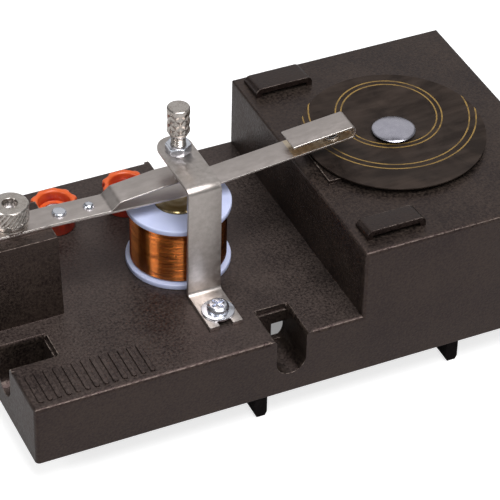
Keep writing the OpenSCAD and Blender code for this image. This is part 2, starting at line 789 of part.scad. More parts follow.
module contact_bracket() {
  tip_r = strap_w / 2;
  fork_front = -upright_y - fork_l + strap_t;
  color(nickel) translate([coil_cx, 0, 0]) difference() {
    intersection() {
      translate([-strap_w / 2, 0, 0]) rotate([90, 0, 90]) linear_extrude(strap_w) strap_outline();
      union() {
        translate([-strap_w / 2, fork_front, deck_z - over])
          cube([strap_w, strap_over - tip_r - fork_front, bracket_h + 2 * over]);
        translate([0, strap_over - tip_r, deck_z]) cylinder(r = tip_r, h = bracket_h + over);
      }
    }
    rod(thread_d + 2 * fit_gap, arm_z - bend_r, arm_z + over);
    translate([0, bracket_screw_y, deck_z - over]) cylinder(d = fork_w, h = strap_t + 2 * over);
    translate([-fork_w / 2, fork_front - over, deck_z - over])
      cube([fork_w, bracket_screw_y - fork_front + over, strap_t + 2 * over]);
  }
}

module bracket_screw() {
  rim_h = 1;
  cap_rise = 1.1;
  cross_w = 0.8;
  head_z = deck_z + strap_t + washer_t;
  color(zinc) translate([coil_cx, bracket_screw_y, head_z]) difference() {
    union() {
      cylinder(d = 2 * small_d, h = rim_h);
      translate([0, 0, rim_h]) dome(small_d, cap_rise);
      translate([0, 0, bracket_end_z - head_z]) cylinder(d = small_d, h = head_z - bracket_end_z + eps);
    }
    for (turn = [0, 90]) rotate([0, 0, turn])
      translate([-small_d / 2, -cross_w / 2, rim_h - 0.2]) cube([small_d, cross_w, cap_rise + over]);
  }
}

module bracket_washer() {
  color(zinc) translate([coil_cx, bracket_screw_y, deck_z + strap_t])
    ring(3 * small_d, small_d + 2 * hole_gap, washer_t);
}

module bracket_nut() {
  color(zinc) translate([coil_cx, bracket_screw_y, deck_under_z - small_nut_t])
    hex_nut(small_nut_af, small_d + 2 * fit_gap, small_nut_t);
}

module contact_screw() {
  bevel = 0.9;
  tip_bore = tip_d + 2 * fit_gap;
  color(nickel) translate([coil_cx, 0, 0]) difference() {
    union() {
      rod(thread_d, contact_z + tip_l / 2, grip_z + eps);
      translate([0, 0, grip_z]) rotate_extrude()
        polygon([[0, 0], [grip_d / 2 - bevel, 0], [grip_d / 2, 2 * bevel], [grip_d / 2, grip_h - bevel / 2],
          [grip_d / 2 - bevel / 2, grip_h], [0, grip_h]]);
    }
    translate([0, 0, contact_z]) cylinder(d = tip_bore, h = tip_l + fit_gap);
  }
}

module contact_tip() {
  color(silver) translate([coil_cx, 0, contact_z]) cylinder(d = tip_d, h = tip_l);
}

module lock_nut() {
  color(zinc) translate([coil_cx, 0, arm_z]) rotate([0, 0, nut_turn])
    hex_nut(nut_af, thread_d + 2 * fit_gap, nut_t);
}

// The ends of strip and leaf that the thumb nut clamps on the tower
root_inset = 1;
root_x = tower_x0 + tower_end_draft + root_inset;

module clamped_end(z0, t) {
  difference() {
    translate([root_x, -strip_w / 2, z0]) cube([flex_x - flex_gap - root_x, strip_w, t]);
    translate([clamp_cx, 0, 0]) rod(thread_d + 2 * hole_gap, z0 - over, z0 + t + over);
  }
}

module strip_root() {
  color(nickel) clamped_end(tower_z, strip_t);
}

module leaf_root() {
  color(nickel) clamped_end(tower_z + strip_t, leaf_t);
}

// Places its children on the strip's middle line, d along the stretch next to the tower
module on_near_strip(d) {
  p = flex_pt + near_dir * d;
  translate([p[0], 0, p[1]]) rotate([0, -near_angle, 0]) children();
}

module rivet_holes() {
  for (d = [rivet_x_a, rivet_x_b]) on_near_strip(d)
    rod(rivet_d + 2 * fit_gap, -strip_t - over, strip_t + leaf_t + over);
}

module vibrating_strip() {
  color(nickel) difference() {
    across(strip_w) polygon(sheet_outline(strip_path, strip_t));
    rivet_holes();
    translate([strike_pt[0], 0, strike_pt[1]]) rotate([0, -far_angle, 0])
      rod(striker_d + 2 * fit_gap, -strip_t, strip_t);
  }
}

module contact_leaf() {
  color(nickel) difference() {
    across(strip_w) polygon(sheet_outline(leaf_path, leaf_t));
    rivet_holes();
    translate([coil_cx, 0, tip_z]) rod(contact_d / 2 + 2 * fit_gap, -leaf_t, leaf_t);
  }
}

module strip_rivets() {
  tail_h = 0.7;
  flat_h = 0.9;
  dome_h = 1.1;
  stack = strip_t + leaf_t;
  color(zinc) for (d = [rivet_x_a, rivet_x_b]) on_near_strip(d) translate([0, 0, -strip_t / 2]) {
    cylinder(d = rivet_d, h = stack);
    mirror([0, 0, 1]) dome(rivet_d * 0.85, tail_h);
    translate([0, 0, stack]) if (d == rivet_x_a) {
      cylinder(d = 2 * rivet_d, h = flat_h / 2);
      translate([0, 0, flat_h / 2]) cylinder(d1 = 2 * rivet_d, d2 = 1.6 * rivet_d, h = flat_h / 2);
    } else dome(0.8 * rivet_d, dome_h);
  }
}

module leaf_contact() {
  tail_h = 0.4;
  color(silver) translate([coil_cx, 0, tip_z - leaf_t / 2]) {
    cylinder(d = contact_d / 2, h = leaf_t);
    mirror([0, 0, 1]) cylinder(d = contact_d * 0.8, h = tail_h);
    translate([0, 0, leaf_t]) cylinder(d1 = contact_d, d2 = contact_d * 0.8, h = contact_head_h);
  }
}

// A tubular rivet: a rolled rim on the strip and a blunt point below it
module striker() {
  rim_h = 0.4;
  rim_w = 0.45;
  bore_d = striker_d * 0.82;
  nose_d = striker_d * 0.3;
  point_h = 0.9;
  foot_z = -striker_l - strip_t / 2;
  color(zinc) translate([strike_pt[0], 0, strike_pt[1]]) rotate([0, -far_angle, 0]) difference() {
    union() {
      translate([0, 0, strip_t / 2]) cylinder(d = striker_d + 2 * rim_w, h = rim_h);
      rod(striker_d, foot_z + point_h, strip_t / 2 + eps);
      translate([0, 0, foot_z]) cylinder(d1 = nose_d, d2 = striker_d, h = point_h);
    }
    rod(bore_d, -striker_l / 2, strip_t + rim_h + over);
  }
}

module clamp_stud() {
  color(zinc) translate([clamp_cx, 0, 0]) rod(thread_d, stud_end_z, thumb_top_z - stud_sunk);
}

module stud_nut() {
  color(zinc) translate([clamp_cx, 0, tower_under_z - stud_nut_t])
    hex_nut(stud_nut_af, thread_d + 2 * fit_gap, stud_nut_t);
}

module clamp_washer() {
  color(nickel) translate([clamp_cx, 0, strip_top_z])
    ring(clamp_washer_d, thread_d + 2 * hole_gap, clamp_washer_t);
}

module thumb_nut() {
  collar_in = 0.6;
  groove_in = 0.8;
  collar_r = thumb_d / 2 - collar_in;
  groove_r = collar_r - groove_in;
  groove_h = 0.5;
  bevel = 0.5;
  bore_bevel = 0.15;
  bore_r = thread_d / 2 + fit_gap;
  top = collar_h + thumb_h;
  color(nickel) translate([clamp_cx, 0, thumb_z]) rotate_extrude()
    polygon([[bore_r, 0], [collar_r, 0], [collar_r, collar_h - groove_h], [groove_r, collar_h - groove_h],
      [groove_r, collar_h], [thumb_d / 2 - bevel / 2, collar_h], [thumb_d / 2, collar_h + bevel / 2],
      [thumb_d / 2, top - bevel], [thumb_d / 2 - bevel, top], [bore_r + bore_bevel, top],
      [bore_r, top - bore_bevel]]);
}

// A red cap with a lobed rim and an open recess over the plug socket
module terminal_cap(x) {
  lobe_share = 0.3;
  lobe_r = lobe_share * PI * cap_rim_d / cap_lobes;
  lobe_at = cap_rim_d / 2 - lobe_r;
  color(red) translate([x, terminal_y, deck_z + turn_gap]) difference() {
    union() {
      cylinder(d = cap_d, h = cap_h - cap_rim_h);
      translate([0, 0, cap_h - cap_rim_h]) linear_extrude(cap_rim_h) {
        circle(lobe_at + lobe_r / 3);
        for (i = [0:cap_lobes - 1]) rotate(360 * i / cap_lobes) translate([lobe_at, 0]) circle(lobe_r);
      }
    }
    translate([0, 0, cap_h - recess_h]) cylinder(d = recess_d, h = recess_h + over);
    translate([0, 0, -over]) cylinder(d = post_d + 2 * fit_gap, h = cap_h + over);
    translate([0, 0, -over])
      cylinder(d = post_flange_d + 2 * hole_gap, h = over + post_flange_t + turn_gap);
  }
}

module terminal_cap_a() {
  terminal_cap(terminal_xs[0]);
}

module terminal_cap_b() {
  terminal_cap(terminal_xs[1]);
}

// The metal sockets that the caps turn on, with a plug bore and a flange on the deck
module terminal_posts() {
  rise = 0.5;
  floor_t = 2;
  top = cap_h - recess_h + turn_gap + rise;
  color(zinc) for (x = terminal_xs) translate([x, terminal_y, deck_z]) difference() {
    union() {
      rod(post_d, top - socket_h - floor_t, top);
      cylinder(d = post_flange_d, h = post_flange_t);
    }
    rod(socket_d, top - socket_h, top + over);
  }
}

module terminal_nuts() {
  color(brass) for (x = terminal_xs) translate([x, terminal_y, deck_under_z - tag_t - post_nut_t])
    hex_nut(post_nut_af, post_d + 2 * fit_gap, post_nut_t);
}

// Solder tags under the deck: a ring round the post and a tongue for the lead
module terminal_tags() {
  ring_d = post_nut_af;
  tongue_w = 2.6;
  color(brass) for (i = [0, 1]) translate([terminal_xs[i], terminal_y, tag_z]) difference() {
    union() {
      cylinder(d = ring_d, h = tag_t);
      mirror([1 - i, 0, 0]) translate([0, -tongue_w / 2, 0])
        cube([tag_l + tongue_w / 2, tongue_w, tag_t]);
    }
    translate([0, 0, -over]) cylinder(d = post_d + 2 * hole_gap, h = tag_t + 2 * over);
  }
}

// Carbon paper: flat round its pin, with a rim that curls up a little
module carbon_disc() {
  hole_r = pin_d / 2 + hole_gap;
  color(carbon) translate([disc_cx, 0, disc_z]) rotate_extrude()
    polygon([[hole_r, 0], [disc_flat_r, 0], [disc_rim_r, disc_rise], [disc_rim_r, disc_rise + disc_t],
      [disc_flat_r, disc_t], [hole_r, disc_t]]);
}

clip_t = 0.8;

module disc_pin() {
  head_z = disc_z + disc_t + turn_gap;
  under_d = pin_head_d * 0.7;
  rim_h = pin_head_h / 2;
  tail = clip_t + 1;
  color(silver) translate([disc_cx, 0, 0]) {
    rod(pin_d, block_under_z - tail, head_z + eps);
    translate([0, 0, head_z]) cylinder(d1 = under_d, d2 = pin_head_d, h = rim_h);
    translate([0, 0, head_z + rim_h]) dome(pin_head_d / 2, pin_head_h - rim_h);
  }
}

module pin_clip() {
  color(zinc) translate([disc_cx, 0, block_under_z - clip_t])
    ring(2.6 * pin_d, pin_d + 2 * fit_gap, clip_t);
}

module lead(path) {
  tube(path, [for (p = path) lead_side], lead_d / 2, 8);
}

module lead_strip() {
  color(red) lead(lead_strip_path);
}

module lead_coil() {
  color(black) lead(lead_coil_path);
}

module lead_bracket() {
  color(black) lead(lead_bracket_path);
}

base_moulding();
feet();
tape_guides();
coil_bobbin();
winding_pack();
winding_wire();
iron_core();
core_screw();
core_washer();
contact_bracket();
bracket_screw();
bracket_washer();
bracket_nut();
contact_screw();
contact_tip();
lock_nut();
strip_root();
leaf_root();
vibrating_strip();
contact_leaf();
strip_rivets();
leaf_contact();
striker();
clamp_stud();
stud_nut();
clamp_washer();
thumb_nut();
terminal_cap_a();
terminal_cap_b();
terminal_posts();
terminal_nuts();
terminal_tags();
carbon_disc();
disc_pin();
pin_clip();
lead_strip();
lead_coil();
lead_bracket();
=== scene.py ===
import math
import bpy
from mathutils import Matrix, Vector


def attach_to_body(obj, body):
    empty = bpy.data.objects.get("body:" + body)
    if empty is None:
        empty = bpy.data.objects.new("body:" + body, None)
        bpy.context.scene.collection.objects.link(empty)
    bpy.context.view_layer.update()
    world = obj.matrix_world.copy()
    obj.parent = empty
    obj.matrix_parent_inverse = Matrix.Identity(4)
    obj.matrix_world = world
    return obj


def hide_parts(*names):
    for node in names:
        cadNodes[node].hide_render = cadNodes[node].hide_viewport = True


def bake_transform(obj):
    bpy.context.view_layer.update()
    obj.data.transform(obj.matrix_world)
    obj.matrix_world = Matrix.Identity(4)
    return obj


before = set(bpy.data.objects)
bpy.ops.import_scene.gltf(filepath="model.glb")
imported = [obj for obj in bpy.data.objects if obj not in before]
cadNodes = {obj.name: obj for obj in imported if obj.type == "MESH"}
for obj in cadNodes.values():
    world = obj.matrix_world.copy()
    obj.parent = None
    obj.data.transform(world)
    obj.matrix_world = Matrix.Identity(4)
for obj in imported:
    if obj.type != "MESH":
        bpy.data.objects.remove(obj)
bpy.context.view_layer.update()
mm = 0.001

# camera, fitted to the base's corners in the photograph
view = {"place": (-0.24547, -0.51625, 0.48452), "right": (0.90904, -0.41629, 0.01880),
        "up": (0.24816, 0.57705, 0.77810), "ahead": (0.33476, 0.70266, -0.62786), "lens": 190.2,
        "sensor": 36, "farthest": 10}


def setCamera():
    bpy.ops.object.camera_add()
    camera = bpy.context.object
    turn = Matrix((Vector(view["right"]), Vector(view["up"]), -Vector(view["ahead"]))).transposed()
    camera.matrix_world = Matrix.Translation(view["place"]) @ turn.to_4x4()
    camera.data.sensor_width = view["sensor"]
    camera.data.lens = view["lens"]
    camera.data.clip_end = view["farthest"]
    bpy.context.scene.camera = camera
    print("camera set")


# materials: lengths in millimetres

def hexColour(code):
    parts = [int(code[i:i + 2], 16) / 255 for i in (0, 2, 4)]
    return tuple(c / 12.92 if c <= 0.04045 else ((c + 0.055) / 1.055) ** 2.4 for c in parts) + (1,)


def addNode(tree, kind, inputs=None, **settings):
    node = tree.nodes.new("ShaderNode" + kind)
    for name, value in settings.items():
        setattr(node, name, value)
    for socket, value in (inputs or {}).items():
        if isinstance(value, bpy.types.NodeSocket):
            tree.links.new(value, node.inputs[socket])
        else:
            node.inputs[socket].default_value = value
    return node


def startMaterial(name, **sockets):
    material = bpy.data.materials.new(name)
    material.use_nodes = True
    tree = material.node_tree
    shader = tree.nodes["Principled BSDF"]
    for socket, value in sockets.items():
        shader.inputs[socket.replace("_", " ")].default_value = value
    where = addNode(tree, "TexCoord").outputs["Object"]
    return material, tree, shader, where


def connect(tree, shader, **results):
    for socket, result in results.items():
        tree.links.new(result, shader.inputs[socket.replace("_", " ")])


def perMetre(size):
    return 1 / (size * mm)  # noise scale whose features are about size millimetres wide


def noise(tree, where, size, detail, **more):
    sockets = {"Vector": where, "Scale": perMetre(size), "Detail": detail, **more}
    return addNode(tree, "TexNoise", sockets).outputs["Fac"]


def stretched(tree, where, **change):
    return addNode(tree, "Mapping", {"Vector": where, **change}).outputs["Vector"]


def split(tree, vector):
    return addNode(tree, "SeparateXYZ", {"Vector": vector}).outputs


def calculate(tree, operation, *values):
    return addNode(tree, "Math", dict(enumerate(values)), operation=operation).outputs["Value"]


def multiply(tree, *values):
    product = values[0]
    for value in values[1:]:
        product = calculate(tree, "MULTIPLY", product, value)
    return product


def ranged(tree, value, low, high, start=0.0, end=1.0):
    sockets = {"Value": value, "From Min": low, "From Max": high, "To Min": start, "To Max": end}
    return addNode(tree, "MapRange", sockets).outputs["Result"]


def blendColours(tree, share, *pair):  # from the first to the second, each a hex code or a socket
    a, b = [hexColour(colour) if isinstance(colour, str) else colour for colour in pair]
    return addNode(tree, "Mix", {"Factor": share, "A": a, "B": b}, data_type="RGBA").outputs["Result"]


def faceNormal(tree):
    return split(tree, addNode(tree, "NewGeometry").outputs["Normal"])


def softEdges(tree, radius):  # edges that the eye sees as rounded
    return addNode(tree, "Bevel", {"Radius": radius * mm}, samples=4).outputs["Normal"]


def bump(tree, height, strength, depth, **normal):
    sockets = {"Height": height, "Strength": strength, "Distance": depth * mm, **normal}
    return addNode(tree, "Bump", sockets).outputs["Normal"]


# where the moulding is rubbed pale, where a painted edge highlight lies, or where it holds dust: levels above
# the table
wearDustAndHighlight = {"reach": 0.4, "ribLevel": 28.25, "ribBand": 0.25, "slope": 0.77, "patch": 1.3,
        "dust": "6d6361", "dustLow": 30.0, "dustHigh": 48.0, "heightFade": 0.15}


# paler edge lines: upper edges rubbed pale and partly a painted highlight, plus a painted highlight along the
# long front edges where the fillet faces up at one slope
def rubbedAndHighlitEdges(tree, where, soft):  # upper edges and the long front edges, but not the ribs
    edge = addNode(tree, "AmbientOcclusion", {"Distance": wearDustAndHighlight["reach"] * mm}, samples=8, inside=True,
                   only_local=True).outputs["AO"]
    rib = calculate(tree, "COMPARE", split(tree, where)["Z"], wearDustAndHighlight["ribLevel"] * mm, wearDustAndHighlight["ribBand"] * mm)
    sharp = multiply(tree, ranged(tree, edge, 0.9, 0.55), ranged(tree, split(tree, soft)["Z"], 0.15, 0.5),
                     calculate(tree, "SUBTRACT", 1.0, rib))
    form = faceNormal(tree)
    away = calculate(tree, "ABSOLUTE", calculate(tree, "SUBTRACT", form["Z"], wearDustAndHighlight["slope"]))
    # painted highlight on the fillets of the long front edges
    front = multiply(tree, ranged(tree, away, 0.1, 0.05), ranged(tree, form["Y"], -0.4, -0.6), 0.6)
    patch = ranged(tree, noise(tree, where, wearDustAndHighlight["patch"], 3.0), 0.38, 0.6)
    return multiply(tree, calculate(tree, "MAXIMUM", sharp, front), patch)


def settledDust(tree, where, soft, cloud, speck, most):  # pale dust on upward faces, falling to a small share from the deck's level up to the block top
    heightFade = ranged(tree, split(tree, where)["Z"], wearDustAndHighlight["dustLow"] * mm, wearDustAndHighlight["dustHigh"] * mm, 1.0,
                   wearDustAndHighlight["heightFade"])
    return multiply(tree, heightFade, ranged(tree, split(tree, soft)["Z"], 0.8, 1.0),
                    ranged(tree, cloud, -0.2, 1.0), ranged(tree, speck, 0.2, 0.75), most)


def mouldedPhenolic(name, low, high, edgeWearAndHighlight, roughness, grain, sheen=0.5, dust=0.0):
    # compression moulded phenolic: near black brown resin whose soft sheen returns pale surroundings as haze
    material, tree, shader, where = startMaterial(name, IOR=1.55, Specular_IOR_Level=sheen,
                                                  Specular_Tint=hexColour("fbd8d4"))
    cloud = noise(tree, where, 14, 4.0)
    speck = noise(tree, where, 0.7, 3.0)
    mix = calculate(tree, "MULTIPLY_ADD", cloud, 0.5, speck)
    tone = blendColours(tree, ranged(tree, mix, 0.58, 0.93), low, high)
    soft = softEdges(tree, 0.3)
    if edgeWearAndHighlight:
        tone = blendColours(tree, settledDust(tree, where, soft, cloud, speck, dust), tone, wearDustAndHighlight["dust"])
        # paler edge colour: rubbed edges with a painted edge highlight
        tone = blendColours(tree, rubbedAndHighlitEdges(tree, where, soft), tone, edgeWearAndHighlight)
    connect(tree, shader, Base_Color=tone,
            Roughness=ranged(tree, mix, 0.55, 0.95, roughness * 0.8, roughness * 1.25),
            Normal=bump(tree, noise(tree, where, 0.6, 2.0), grain, 0.12, Normal=soft))
    return material


def platedMetal(name, colour, dark, roughness, wave, scale=(1, 1, 1)):
    # electroplated steel: clear reflections softened by handling, with a faint rolled wave under the plate
    material, tree, shader, where = startMaterial(name, Metallic=1.0)
    rolled = stretched(tree, where, Scale=scale)
    smear = noise(tree, rolled, 1.8, 8.0, Roughness=0.7)
    connect(tree, shader, Base_Color=blendColours(tree, ranged(tree, smear, 0.3, 0.65), dark, colour),
            Roughness=ranged(tree, smear, 0.3, 0.7, roughness * 0.75, roughness * 1.25),
            Normal=bump(tree, noise(tree, rolled, 1.2, 2.0), wave, 0.05))
    return material


def turnedIron(name, centre):
    # soft iron faced on a lathe and worn smooth: a dark mirror with the faintest rings
    material, tree, shader, where = startMaterial(name, Metallic=1.0, Roughness=0.2)
    middle = stretched(tree, where, Location=(-centre[0] * mm, -centre[1] * mm, 0))
    sockets = {"Vector": middle, "Scale": perMetre(7), "Distortion": 0.6, "Detail": 2.0}
    rings = addNode(tree, "TexWave", sockets, wave_type="RINGS", rings_direction="Z").outputs["Fac"]
    connect(tree, shader, Base_Color=blendColours(tree, rings, "a8966c", "bcae88"))
    return material


def mouldedNylon(name):
    # natural nylon: milky white with a cold tint, lets a little light through, soft gloss
    material, tree, shader, where = startMaterial(name, Roughness=0.32, IOR=1.53, Subsurface_Weight=0.2,
                                                  Subsurface_Radius=(1.0, 1.0, 1.0),
                                                  Subsurface_Scale=1.2 * mm)
    flow = noise(tree, where, 6, 3.0)
    connect(tree, shader, Base_Color=blendColours(tree, flow, "c0c8ec", "d2daf8"),
            Normal=bump(tree, flow, 0.05, 0.1))
    return material


def enamelledCopper(name):
    # drawn copper under clear enamel: warm metal with a sharp gloss line, turns differ a little in tone
    material, tree, shader, where = startMaterial(name, Metallic=1.0, Roughness=0.2, Coat_Weight=0.3,
                                                  Coat_Roughness=0.12)
    turns = noise(tree, stretched(tree, where, Scale=(0.08, 0.08, 1)), 0.5, 2.0)
    connect(tree, shader, Base_Color=blendColours(tree, ranged(tree, turns, 0.2, 0.8), "6a2608", "ea9044"))
    return material


def glossPlastic(name, low, high, roughness):
    # injection moulded polystyrene: wet gloss, slight swirl where the melt met, and upward faces painted
    # paler as painted light from above
    material, tree, shader, where = startMaterial(name, Roughness=roughness, IOR=1.5)
    swirl = noise(tree, where, 5, 3.0, Distortion=0.8)
    # painted light: upward faces lighter, mixed with the swirl
    litTopAndSwirl = calculate(tree, "MULTIPLY_ADD", ranged(tree, faceNormal(tree)["Z"], 0.0, 0.7), 0.7, swirl)
    connect(tree, shader, Base_Color=blendColours(tree, ranged(tree, litTopAndSwirl, 0.4, 1.2), low, high),
            Normal=bump(tree, swirl, 0.04, 0.1, Normal=softEdges(tree, 0.25)))
    return material


# carbon paper printed with plain gold double rings: radii and line width
discPrint = {"centre": (46.0, 7.7), "rings": (13.4, 14.9, 22.5, 24.4), "line": 0.4, "ink": "8f7440"}


def carbonPaper(name):
    # waxed carbon paper: nearly black, dull sheen, rubbed streaks; the gold ink is a thin satin film
    material, tree, shader, where = startMaterial(name, IOR=1.45, Specular_Tint=hexColour("ffd8c4"))
    cx, cy = discPrint["centre"]
    flat = stretched(tree, where, Location=(-cx * mm, -cy * mm, 0), Scale=(1, 1, 0))
    streak = stretched(tree, where, Rotation=(0, 0, math.radians(-8)), Scale=(0.2, 1, 1))
    rubbed = noise(tree, streak, 2.4, 6.0)
    smudge = noise(tree, where, 9, 3.0, Distortion=1.0)
    mix = calculate(tree, "ADD", rubbed, smudge)
    tone = blendColours(tree, ranged(tree, mix, 0.8, 1.3), "0d0a09", "322b27")
    reach = addNode(tree, "VectorMath", {0: flat}, operation="LENGTH").outputs["Value"]
    ink = 0.0
    for radius in discPrint["rings"]:
        away = calculate(tree, "ABSOLUTE", calculate(tree, "SUBTRACT", reach, radius * mm))
        line = calculate(tree, "LESS_THAN", away, discPrint["line"] / 2 * mm)
        ink = calculate(tree, "MAXIMUM", ink, line)
    cover = multiply(tree, ink, ranged(tree, rubbed, 0.62, 0.5, 0.55, 1.0))
    connect(tree, shader, Base_Color=blendColours(tree, cover, tone, discPrint["ink"]),
            Roughness=ranged(tree, smudge, 0.3, 0.7, 0.42, 0.6), Normal=bump(tree, rubbed, 0.12, 0.1))
    return material


# each moulding's fourth colour paints its rubbed edges and its painted edge highlight
phenolic = mouldedPhenolic("phenolicMoulding", "0e0b0a", "2f2822", "8e8279", 0.4, 0.8, dust=0.38)
# the tape hoods get a darker copy of the base moulding's colours: painted shade
shadedHoodPhenolic = mouldedPhenolic("phenolicHoodsPaintedShade", "090706", "211b17", "7a6f68", 0.33, 0.6)
# the feet are painted near black with little sheen, darker than the moulding
nearBlackFeet = mouldedPhenolic("feetNearBlack", "060607", "0c0c0e", None, 0.7, 0.25, 0.12)
nickelSheet = platedMetal("nickelPlatedSheet", "cec5c1", "bcb3ae", 0.4, 0.03, (0.4, 1, 1))
# painted shade for the inside of the striker eyelet's bore
boreShade = platedMetal("paintedBoreShade", "4a362a", "2e2019", 0.5, 0.02)
# painted warm reflection for the faces inside the strip's fold
foldWarmReflection = platedMetal("paintedFoldReflection", "eadbc6", "d0bfa6", 0.34, 0.02)
bracketNickel = platedMetal("nickelPlatedBracket", "d0c8c4", "b5ada7", 0.4, 0.04)
# sheet edges: sheared steel, lightened as a painted highlight along the edges
shearedEdgeHighlight = platedMetal("shearedEdgePaintedHighlight", "e8e2dd", "d4cdc8", 0.32, 0.02)
nickelTurned = platedMetal("nickelPlatedTurned", "d8d1cb", "b6ada5", 0.28, 0.02)
zincPlate = platedMetal("zincPlatedSteel", "f2f4fc", "dde2ee", 0.24, 0.012)
pinSatin = platedMetal("satinPinHead", "d2d0dc", "c0becb", 0.24, 0.03)
contactSilver = platedMetal("contactSilver", "e6e6e8", "cfd0d2", 0.25, 0.03)
tagBrass = platedMetal("tagBrass", "cfae68", "b08d48", 0.35, 0.06)
coreIron = turnedIron("turnedCoreIron", (-21.3, 0.0))
bobbinNylon = mouldedNylon("bobbinNylon")
copperWire = enamelledCopper("enamelledCopperWire")
redCap = glossPlastic("redPolystyrene", "a62210", "de602c", 0.3)
leadRed = glossPlastic("redLeadPvc", "8c1a14", "a82018", 0.4)
leadBlack = glossPlastic("blackLeadPvc", "101012", "1b1b1e", 0.42)
discPaper = carbonPaper("carbonPaper")
print("materials made")


# modelling: lengths in millimetres

def clearSelection():
    if bpy.context.object and bpy.context.object.mode != "OBJECT":
        bpy.ops.object.mode_set(mode="OBJECT")
    bpy.ops.object.select_all(action="DESELECT")


def pick(piece):
    clearSelection()
    piece.select_set(True)
    bpy.context.view_layer.objects.active = piece


def modify(piece, kind, **settings):
    pick(piece)
    change = piece.modifiers.new(kind.title(), kind)
    for name, value in settings.items():
        setattr(change, name, value)
    bpy.ops.object.modifier_apply(modifier=change.name)


def roundEdges(piece, width, segments=2, angle=35, material=-1):
    modify(piece, "BEVEL", width=width * mm, segments=segments, limit_method="ANGLE",
           angle_limit=math.radians(angle), use_clamp_overlap=False, material=material)


def cutAway(piece, cutter):  # the cutter is thrown away
    modify(piece, "BOOLEAN", operation="DIFFERENCE", object=cutter, solver="EXACT")
    bpy.data.objects.remove(cutter)


def settle(piece):  # location and turn become part of the mesh
    pick(piece)
    bpy.ops.object.transform_apply(location=True, rotation=True, scale=True)


def joinTo(piece, *others):
    pick(piece)
    for other in others:
        other.select_set(True)
    bpy.ops.object.join()
    return piece


def shade(piece, angle=35):
    pick(piece)
    bpy.ops.object.shade_smooth_by_angle(angle=math.radians(angle))


def paint(piece, *materials):
    piece.data.materials.clear()
    for material in materials:
        piece.data.materials.append(material)


def attach(piece, body, slot, *nodes):
    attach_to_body(piece, body)
    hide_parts(*nodes)


def startPoint(name, point):  # a plane drawn together to one point, to extrude from
    clearSelection()
    bpy.ops.mesh.primitive_plane_add(size=mm)
    piece = bpy.context.object
    piece.name = name
    bpy.ops.object.mode_set(mode="EDIT")
    bpy.ops.mesh.select_mode(type="VERT")
    bpy.ops.mesh.select_all(action="SELECT")
    bpy.ops.mesh.merge(type="CENTER")
    bpy.ops.transform.translate(value=point)
    return piece


def extrudeLine(points):
    for a, b in zip(points, points[1:]):
        bpy.ops.mesh.extrude_vertices_move(TRANSFORM_OT_translate={"value": b - a})


def closeUp(threshold=0.002):
    bpy.ops.mesh.select_all(action="SELECT")
    bpy.ops.mesh.remove_doubles(threshold=threshold * mm)
    bpy.ops.mesh.normals_make_consistent(inside=False)
    bpy.ops.object.mode_set(mode="OBJECT")


def turnProfile(name, profile, centre=(0, 0), steps=64):  # profile as radius and height
    cx, cy = centre
    line = [Vector((cx + r, cy, z)) * mm for r, z in profile]
    piece = startPoint(name, line[0])
    extrudeLine(line)
    bpy.ops.mesh.select_all(action="SELECT")
    bpy.ops.mesh.spin(steps=steps, angle=2 * math.pi, center=(cx * mm, cy * mm, 0), axis=(0, 0, 1))
    closeUp()
    return piece


def copyNode(node, name, merge=0.002, flat=0.4):  # the solid's own mesh, merged and cleaned for softer edges
    clearSelection()
    piece = bpy.data.objects.new(name, cadNodes[node].data.copy())
    bpy.context.collection.objects.link(piece)
    pick(piece)
    bpy.ops.object.mode_set(mode="EDIT")
    bpy.ops.mesh.select_all(action="SELECT")
    bpy.ops.mesh.remove_doubles(threshold=merge * mm)
    bpy.ops.mesh.dissolve_limited(angle_limit=math.radians(flat))
    bpy.ops.object.mode_set(mode="OBJECT")
    bpy.ops.mesh.customdata_custom_splitnormals_clear()
    return piece


def dressCopy(node, name, material, body, slot, edge=0.0, angle=35, segments=2):
    piece = copyNode(node, name)
    paint(piece, material)
    if edge:
        roundEdges(piece, edge, segments)
    shade(piece, angle)
    attach(piece, body, slot, node)
    return piece


def rows(low, high, count):
    return [low + (high - low) * i / count for i in range(count + 1)]


# inner leads, routed as in the solids
leadThick = 1.6
leads = {
    "leadToStrip": {"node": "lead_strip", "material": leadRed, "slot": "lead_red", "path": [
        (-55.1, 26.6, 23.8), (-55.1, 26.6, 21.3), (-56.1, 25.6, 19.3), (-62.1, 18, 19.3),
        (-66.1, 8, 19.3), (-69.1, 2, 21.3), (-69.1, 0, 25.3), (-69.1, 0, 40.3)]},
    "leadToCoil": {"node": "lead_coil", "material": leadBlack, "slot": "lead_black", "path": [
        (-17.8, 26.6, 23.8), (-17.8, 26.6, 21.3), (-16.8, 25.6, 19.3), (-14, 20, 19.3),
        (-16.9, 12, 19.3), (-21.3, 10.5, 19.3), (-21.3, 9.5, 20.8), (-21.3, 9.5, 27.9)]},
    "leadToBracket": {"node": "lead_bracket", "material": leadBlack, "slot": "lead_black", "path": [
        (-21.3, -9.5, 27.9), (-21.3, -9.5, 19.3), (-21.3, -10.5, 17.3), (-21.3, -15, 15.3),
        (-21.3, -22.5, 15.3), (-21.3, -25.7, 15.8), (-21.3, -26.7, 17.3), (-21.3, -26.7, 20.7)]},
}


def smoothRoute(points, steps=5):  # even curve through the route's points
    points = [Vector(p) * mm for p in points]
    ends = [points[0]] + points + [points[-1]]
    line = []
    for a, b, c, d in zip(ends, ends[1:], ends[2:], ends[3:]):
        for i in range(steps):
            t = i / steps
            line.append(0.5 * (2 * b + (c - a) * t + (2 * a - 5 * b + 4 * c - d) * t ** 2
                               + (3 * b - a - 3 * c + d) * t ** 3))
    return line + [points[-1]]


